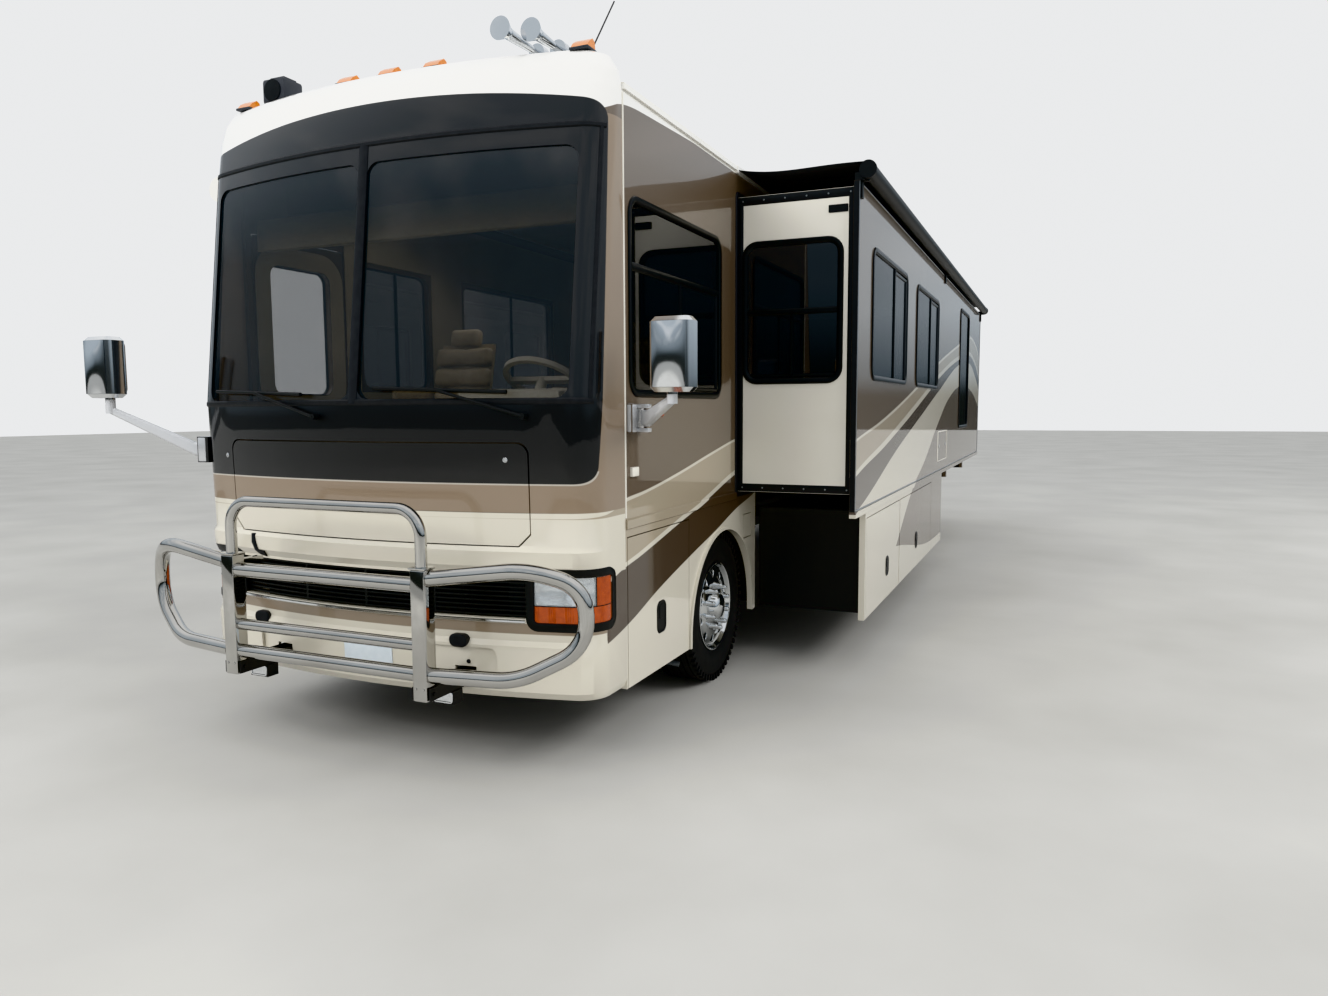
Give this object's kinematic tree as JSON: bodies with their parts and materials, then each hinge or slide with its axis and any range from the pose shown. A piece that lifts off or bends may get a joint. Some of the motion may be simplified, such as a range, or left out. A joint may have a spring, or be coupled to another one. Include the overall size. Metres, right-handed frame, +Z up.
{
  "type": "motorhome",
  "caption": "Bus-style motorhome with a full-length slide-out room, baggage bays, steered front wheels, rear dual wheels and a folding grille guard.",
  "frame": {"origin": "middle of the floor rectangle that the whole coach takes, with the slide-out room out, on the ground", "axes": "+Z up, -Y towards the nose, +X towards the driver's side with the slide-out room"},
  "size_m": [4.105, 12.543, 4.0125],
  "materials": {
    "cap_white": "gloss",
    "body_cream": "gloss",
    "skirt_brown": "gloss",
    "chassis_black": "satin",
    "engine_iron": "rough",
    "chrome": "polished",
    "window_unit": "tinted",
    "windscreen_glass": "clear",
    "lamp_lens": "clear",
    "lamp_red": "clear",
    "lamp_amber": "clear",
    "black_plastic": "matte",
    "grey_plastic": "matte",
    "white_plastic": "matte",
    "wheel": "matte",
    "topper_cloth": "woven",
    "chair_leather": "soft",
    "cabinet_wood": "satin",
    "floor_board": "matte",
    "bay_lining": "brushed"
  },
  "bodies": {
    "coach": {"front_cap": "cap_white", "front_hatch": "skirt_brown", "windscreen": "windscreen_glass", "lower_fascia": "body_cream", "headlamps": "lamp_lens", "grille": "chrome", "left_wall": "body_cream", "right_wall": "body_cream", "side_windows": "window_unit", "roof": "cap_white", "rear_cap": "body_cream", "tail_lamps": "lamp_red", "ladder": "chrome", "left_skirt": "skirt_brown", "right_skirt": "skirt_brown", "baggage_bays": "bay_lining", "floor": "floor_board", "entry_step": "black_plastic", "chassis_frame": "chassis_black", "engine_block": "engine_iron", "front_axle": "chassis_black", "rear_axle": "chassis_black", "roof_units": "white_plastic", "air_horns": "chrome", "roof_lamps": "lamp_amber", "patio_awning": "white_plastic", "wipers": "black_plastic", "guard_mounts": "chassis_black", "hitch_receiver": "chassis_black", "dashboard": "black_plastic", "steering_wheel": "black_plastic", "front_chairs": "chair_leather", "overhead_cabinet": "cabinet_wood"},
    "knuckle_left": {"knuckle_left": "chassis_black"},
    "knuckle_right": {"knuckle_right": "chassis_black"},
    "wheel_front_left": {"wheel_front_left": "wheel"},
    "wheel_front_right": {"wheel_front_right": "wheel"},
    "wheel_rear_left": {"wheel_rear_left": "wheel"},
    "wheel_rear_right": {"wheel_rear_right": "wheel"},
    "slide_out": {"slide_room": "white_plastic", "slide_fascia": "body_cream", "slide_windows": "window_unit", "slide_basement": "skirt_brown", "topper_roller": "grey_plastic", "topper_fabric": "topper_cloth"},
    "slide_door_1": {"slide_door_1": "skirt_brown"},
    "slide_door_2": {"slide_door_2": "skirt_brown"},
    "bay_door_front_left": {"bay_door_front_left": "skirt_brown"},
    "bay_door_rear_left": {"bay_door_rear_left": "skirt_brown"},
    "bay_door_right_1": {"bay_door_right_1": "skirt_brown"},
    "bay_door_right_2": {"bay_door_right_2": "skirt_brown"},
    "bay_door_right_3": {"bay_door_right_3": "skirt_brown"},
    "fuel_door": {"fuel_door": "body_cream"},
    "entry_door": {"entry_door": "body_cream", "entry_glass": "window_unit"},
    "engine_door": {"engine_door": "skirt_brown"},
    "mirror_left": {"mirror_left": "chrome"},
    "mirror_right": {"mirror_right": "chrome"},
    "grille_guard": {"grille_guard": "chrome"}
  },
  "joints": [
    {"name": "steer_left", "type": "hinge", "parent": "coach", "child": "knuckle_left", "pos_m": [0.748, -3.997, 0.493], "axis": [0, 0, 1], "range_deg": [-40, 40]},
    {"name": "steer_right", "type": "hinge", "parent": "coach", "child": "knuckle_right", "pos_m": [-1.052, -3.997, 0.493], "axis": [0, 0, 1], "range_deg": [-40, 40]},
    {"name": "roll_front_left", "type": "hinge", "parent": "knuckle_left", "child": "wheel_front_left", "pos_m": [0.95, -3.997, 0.493], "axis": [1, 0, 0], "continuous": true},
    {"name": "roll_front_right", "type": "hinge", "parent": "knuckle_right", "child": "wheel_front_right", "pos_m": [-1.254, -3.997, 0.493], "axis": [1, 0, 0], "continuous": true},
    {"name": "roll_rear_left", "type": "hinge", "parent": "coach", "child": "wheel_rear_left", "pos_m": [0.848, 2.368, 0.493], "axis": [1, 0, 0], "continuous": true},
    {"name": "roll_rear_right", "type": "hinge", "parent": "coach", "child": "wheel_rear_right", "pos_m": [-1.152, 2.368, 0.493], "axis": [1, 0, 0], "continuous": true},
    {"name": "slide_in", "type": "slide", "parent": "coach", "child": "slide_out", "axis": [-1, 0, 0], "range_m": [0, 0.76], "deforming": ["topper_fabric"]},
    {"name": "slide_door_1_lift", "type": "hinge", "parent": "slide_out", "child": "slide_door_1", "pos_m": [1.945, -2.684, 1.045], "axis": [0, -1, 0], "range_deg": [0, 85]},
    {"name": "slide_door_2_lift", "type": "hinge", "parent": "slide_out", "child": "slide_door_2", "pos_m": [1.945, -1.007, 1.045], "axis": [0, -1, 0], "range_deg": [0, 85]},
    {"name": "bay_front_left_lift", "type": "hinge", "parent": "coach", "child": "bay_door_front_left", "pos_m": [1.133, -5.034, 1.14], "axis": [0, -1, 0], "range_deg": [0, 85]},
    {"name": "bay_rear_left_lift", "type": "hinge", "parent": "coach", "child": "bay_door_rear_left", "pos_m": [1.133, 4.118, 1.075], "axis": [0, -1, 0], "range_deg": [0, 85]},
    {"name": "bay_right_1_lift", "type": "hinge", "parent": "coach", "child": "bay_door_right_1", "pos_m": [-1.437, -2.102, 1.075], "axis": [0, 1, 0], "range_deg": [0, 85]},
    {"name": "bay_right_2_lift", "type": "hinge", "parent": "coach", "child": "bay_door_right_2", "pos_m": [-1.437, 0.318, 1.075], "axis": [0, 1, 0], "range_deg": [0, 85]},
    {"name": "bay_right_3_lift", "type": "hinge", "parent": "coach", "child": "bay_door_right_3", "pos_m": [-1.437, 4.118, 1.075], "axis": [0, 1, 0], "range_deg": [0, 85]},
    {"name": "fuel_door_turn", "type": "hinge", "parent": "coach", "child": "fuel_door", "pos_m": [1.133, -3.597, 0.98], "axis": [0, 0, -1], "range_deg": [0, 100]},
    {"name": "entry_door_turn", "type": "hinge", "parent": "coach", "child": "entry_door", "pos_m": [-1.437, -5.422, 1.74], "axis": [0, 0, 1], "range_deg": [0, 90]},
    {"name": "engine_door_lift", "type": "hinge", "parent": "coach", "child": "engine_door", "pos_m": [-0.152, 6.168, 1.7], "axis": [1, 0, 0], "range_deg": [0, 80]},
    {"name": "mirror_left_fold", "type": "hinge", "parent": "coach", "child": "mirror_left", "pos_m": [1.195, -5.362, 1.75], "axis": [0, 0, -1], "range_deg": [0, 25]},
    {"name": "mirror_right_fold", "type": "hinge", "parent": "coach", "child": "mirror_right", "pos_m": [-1.499, -5.737, 1.575], "axis": [0, 0, 1], "range_deg": [0, 40]},
    {"name": "guard_tilt", "type": "hinge", "parent": "coach", "child": "grille_guard", "pos_m": [-0.152, -6.231, 0.475], "axis": [1, 0, 0], "range_deg": [0, 80]}
  ],
  "couplings": [
    {"joint": "steer_right", "follows": "steer_left", "ratio": 1}
  ]
}
